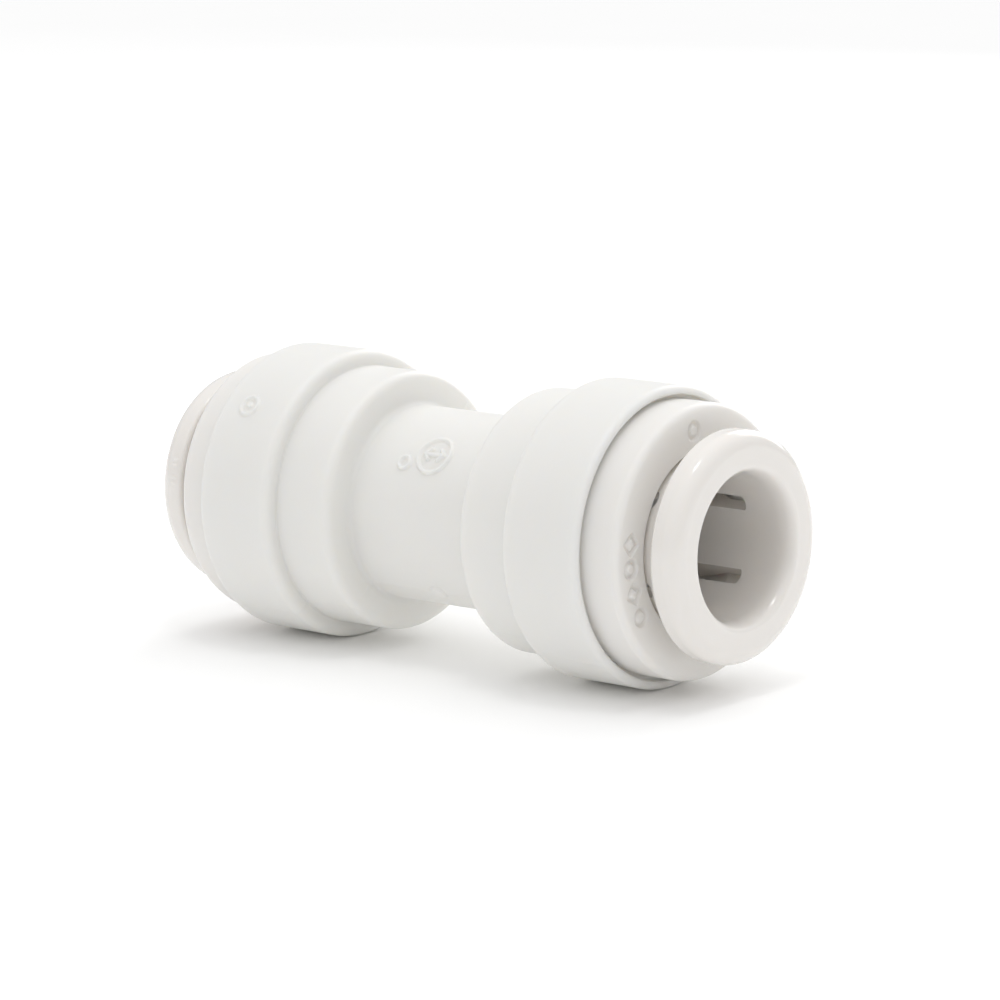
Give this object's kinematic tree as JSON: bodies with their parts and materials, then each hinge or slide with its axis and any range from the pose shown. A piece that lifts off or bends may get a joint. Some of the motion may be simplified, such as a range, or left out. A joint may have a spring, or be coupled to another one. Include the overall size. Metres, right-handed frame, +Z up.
{
  "type": "push-to-connect tube fitting",
  "caption": "Straight push-to-connect union for plastic tube: a stepped white body with a pressed-in cap, an O-ring and a sliding release collet with steel teeth at each end.",
  "frame": {"origin": "on the tubes' axis, midway between the two ends", "axes": "+X along the tubes' axis towards the right-hand end, +Z up; both ends are alike, mirrored in the plane X = 0"},
  "size_m": [0.0458, 0.02, 0.02],
  "materials": {
    "body_plastic": "fine satin moulding, softly mottled",
    "cap_plastic": "fine satin moulding",
    "collet_plastic": "semi-gloss moulding",
    "washer_plastic": "satin",
    "seal_rubber": "smooth, lightly greased",
    "tooth_steel": "stamped stainless strip"
  },
  "bodies": {
    "housing": {"body": "body_plastic", "cap_left": "cap_plastic", "cap_right": "cap_plastic", "o_ring_left": "seal_rubber", "o_ring_right": "seal_rubber", "seal_washer_left": "washer_plastic", "seal_washer_right": "washer_plastic"},
    "left_collet": {"collet_left": "collet_plastic", "tooth_left_1": "tooth_steel", "tooth_left_2": "tooth_steel", "tooth_left_3": "tooth_steel", "tooth_left_4": "tooth_steel", "tooth_left_5": "tooth_steel", "tooth_left_6": "tooth_steel"},
    "right_collet": {"collet_right": "collet_plastic", "tooth_right_1": "tooth_steel", "tooth_right_2": "tooth_steel", "tooth_right_3": "tooth_steel", "tooth_right_4": "tooth_steel", "tooth_right_5": "tooth_steel", "tooth_right_6": "tooth_steel"}
  },
  "joints": [
    {"name": "collet_left_press", "type": "slide", "parent": "housing", "child": "left_collet", "axis": [1, 0, 0], "range_m": [0, 0.0015]},
    {"name": "collet_right_press", "type": "slide", "parent": "housing", "child": "right_collet", "axis": [-1, 0, 0], "range_m": [0, 0.0015]}
  ]
}
